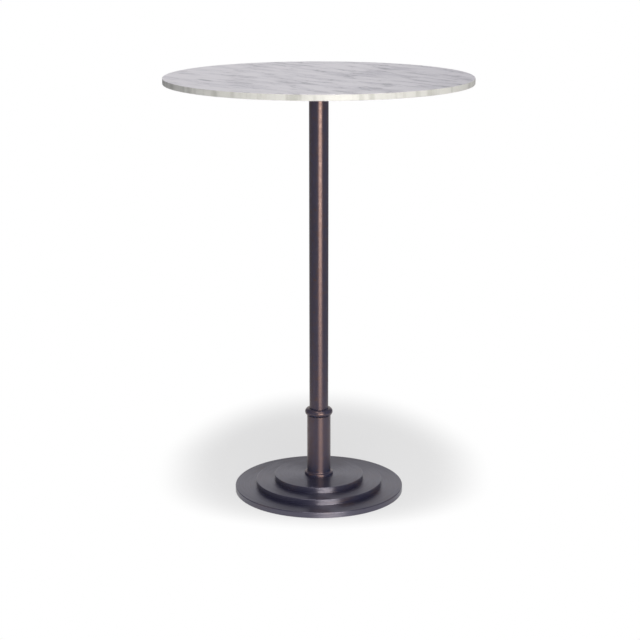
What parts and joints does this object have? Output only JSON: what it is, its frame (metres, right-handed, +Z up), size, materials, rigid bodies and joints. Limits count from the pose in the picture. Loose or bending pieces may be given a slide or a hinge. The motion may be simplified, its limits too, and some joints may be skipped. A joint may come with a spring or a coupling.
{
  "type": "bar table",
  "caption": "Tall round pedestal bar table: thin marble top on a slim bronze-finished steel column with a stepped round base and screw-in levelling glides.",
  "frame": {"origin": "centre of the foot on the floor, at the bottom of the levelling glides, on the column's axis", "axes": "+Z up along the column, the longest extent; X and Y are level, and the glides stand on their diagonals"},
  "size_m": [0.7619, 0.762, 1.0668],
  "materials": {
    "marble": "polished, grey-veined white marble",
    "bronze_column": "dark bronze lacquer over brushed steel tube, semi-gloss",
    "bronze_base": "dark bronze lacquer over turned steel plate, semi-gloss",
    "plate_paint": "matt black powder coat",
    "zinc_steel": "bright zinc plating",
    "brass": "turned",
    "cushion_rubber": "matt",
    "glide_nylon": "moulded, matt"
  },
  "bodies": {
    "table": {"marble_top": "marble", "top_inserts": "brass", "cushion_ring": "cushion_rubber", "mounting_plate": "plate_paint", "hub_boss": "plate_paint", "plate_washers": "zinc_steel", "plate_screws": "zinc_steel", "column_tube": "bronze_column", "column_plug": "zinc_steel", "tie_rod": "zinc_steel", "tie_rod_washer": "zinc_steel", "tie_rod_nut": "zinc_steel", "column_sleeve": "bronze_column", "bead_ring": "bronze_column", "foot_ring": "bronze_column", "small_disc": "bronze_base", "middle_disc": "bronze_base", "bottom_disc": "bronze_base", "middle_disc_screws": "zinc_steel", "bottom_disc_screws": "zinc_steel"},
    "glide_pad_1": {"glide_pad_1": "glide_nylon"},
    "glide_stud_1": {"glide_stud_1": "zinc_steel"},
    "glide_pad_2": {"glide_pad_2": "glide_nylon"},
    "glide_stud_2": {"glide_stud_2": "zinc_steel"},
    "glide_pad_3": {"glide_pad_3": "glide_nylon"},
    "glide_stud_3": {"glide_stud_3": "zinc_steel"},
    "glide_pad_4": {"glide_pad_4": "glide_nylon"},
    "glide_stud_4": {"glide_stud_4": "zinc_steel"}
  },
  "joints": [
    {"name": "glide_1_height", "type": "slide", "parent": "table", "child": "glide_pad_1", "axis": [0, 0, -1], "range_m": [0, 0.004]},
    {"name": "glide_1_turn", "type": "hinge", "parent": "glide_pad_1", "child": "glide_stud_1", "pos_m": [0.13576, 0.13576, 0.0016], "axis": [0, 0, -1], "range_deg": [0, 1150]},
    {"name": "glide_2_height", "type": "slide", "parent": "table", "child": "glide_pad_2", "axis": [0, 0, -1], "range_m": [0, 0.004]},
    {"name": "glide_2_turn", "type": "hinge", "parent": "glide_pad_2", "child": "glide_stud_2", "pos_m": [-0.13576, 0.13576, 0.0016], "axis": [0, 0, -1], "range_deg": [0, 1150]},
    {"name": "glide_3_height", "type": "slide", "parent": "table", "child": "glide_pad_3", "axis": [0, 0, -1], "range_m": [0, 0.004]},
    {"name": "glide_3_turn", "type": "hinge", "parent": "glide_pad_3", "child": "glide_stud_3", "pos_m": [-0.13576, -0.13576, 0.0016], "axis": [0, 0, -1], "range_deg": [0, 1150]},
    {"name": "glide_4_height", "type": "slide", "parent": "table", "child": "glide_pad_4", "axis": [0, 0, -1], "range_m": [0, 0.004]},
    {"name": "glide_4_turn", "type": "hinge", "parent": "glide_pad_4", "child": "glide_stud_4", "pos_m": [0.13576, -0.13576, 0.0016], "axis": [0, 0, -1], "range_deg": [0, 1150]}
  ],
  "couplings": [
    {"joint": "glide_1_height", "follows": "glide_1_turn", "m_per_rad": 0.00019894},
    {"joint": "glide_2_height", "follows": "glide_2_turn", "m_per_rad": 0.00019894},
    {"joint": "glide_3_height", "follows": "glide_3_turn", "m_per_rad": 0.00019894},
    {"joint": "glide_4_height", "follows": "glide_4_turn", "m_per_rad": 0.00019894}
  ]
}
